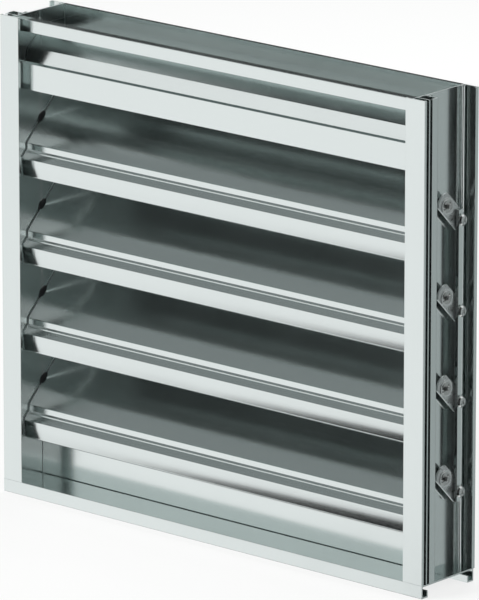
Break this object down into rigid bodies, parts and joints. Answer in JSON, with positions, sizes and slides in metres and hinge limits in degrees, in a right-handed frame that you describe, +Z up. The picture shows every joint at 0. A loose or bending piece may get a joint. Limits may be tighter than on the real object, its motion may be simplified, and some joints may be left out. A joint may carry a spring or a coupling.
{
  "type": "adjustable blade louver",
  "caption": "Extruded aluminium wall louver with a fixed head blade and a column of pivoting blades, linked by cranks and a tie bar in one jamb.",
  "frame": {"origin": "middle of the underside of the sill, half way through the frame depth", "axes": "+X to the right along the blades as seen from the weather side, +Y through the wall to the rear, +Z up"},
  "size_m": [0.7088, 0.1016, 0.6372],
  "materials": {
    "mill_aluminium": "mill finish extrusion, satin",
    "crank_steel": "zinc plated, satin",
    "axle_steel": "drawn bar, satin",
    "screw_steel": "zinc plated, bright",
    "clip_steel": "zinc plated spring steel",
    "bush_plastic": "moulded acetal"
  },
  "bodies": {
    "frame": {"sill": "mill_aluminium", "jamb_left": "mill_aluminium", "jamb_right": "mill_aluminium", "head": "mill_aluminium", "fixed_blade": "mill_aluminium", "head_screws": "screw_steel", "fixed_blade_screws": "screw_steel", "sill_screws": "screw_steel", "bush_left_1": "bush_plastic", "bush_left_2": "bush_plastic", "bush_left_3": "bush_plastic", "bush_left_4": "bush_plastic", "bush_right_1": "bush_plastic", "bush_right_2": "bush_plastic", "bush_right_3": "bush_plastic", "bush_right_4": "bush_plastic"},
    "swing_1": {"blade_1": "mill_aluminium", "axle_left_1": "axle_steel", "axle_right_1": "axle_steel", "crank_1": "crank_steel", "crank_washer_1": "screw_steel", "retaining_clip_1": "clip_steel"},
    "swing_2": {"blade_2": "mill_aluminium", "axle_left_2": "axle_steel", "axle_right_2": "axle_steel", "crank_2": "crank_steel", "crank_washer_2": "screw_steel", "retaining_clip_2": "clip_steel"},
    "swing_3": {"blade_3": "mill_aluminium", "axle_left_3": "axle_steel", "axle_right_3": "axle_steel", "crank_3": "crank_steel", "crank_washer_3": "screw_steel", "retaining_clip_3": "clip_steel"},
    "swing_4": {"blade_4": "mill_aluminium", "axle_left_4": "axle_steel", "axle_right_4": "axle_steel", "crank_4": "crank_steel", "crank_washer_4": "screw_steel", "retaining_clip_4": "clip_steel"},
    "linkage": {"tie_bar": "mill_aluminium", "trunnion_screws": "screw_steel", "trunnion_collars": "screw_steel", "push_rings": "screw_steel"}
  },
  "joints": [
    {"name": "blade_1_swing", "type": "hinge", "parent": "frame", "child": "swing_1", "pos_m": [0, 0.0072, 0.492], "axis": [1, 0, 0], "range_deg": [0, 32]},
    {"name": "blade_2_swing", "type": "hinge", "parent": "frame", "child": "swing_2", "pos_m": [0, 0.0072, 0.3752], "axis": [1, 0, 0], "range_deg": [0, 32]},
    {"name": "blade_3_swing", "type": "hinge", "parent": "frame", "child": "swing_3", "pos_m": [0, 0.0072, 0.2584], "axis": [1, 0, 0], "range_deg": [0, 32]},
    {"name": "blade_4_swing", "type": "hinge", "parent": "frame", "child": "swing_4", "pos_m": [0, 0.0072, 0.1416], "axis": [1, 0, 0], "range_deg": [0, 32]},
    {"name": "tie_bar_pivot", "type": "hinge", "parent": "swing_1", "child": "linkage", "pos_m": [0.344, 0.02771, 0.47149], "axis": [1, 0, 0], "range_deg": [-32, 0]}
  ],
  "couplings": [
    {"joint": "blade_2_swing", "follows": "blade_1_swing", "ratio": 1},
    {"joint": "blade_3_swing", "follows": "blade_1_swing", "ratio": 1},
    {"joint": "blade_4_swing", "follows": "blade_1_swing", "ratio": 1},
    {"joint": "tie_bar_pivot", "follows": "blade_1_swing", "ratio": -1}
  ]
}
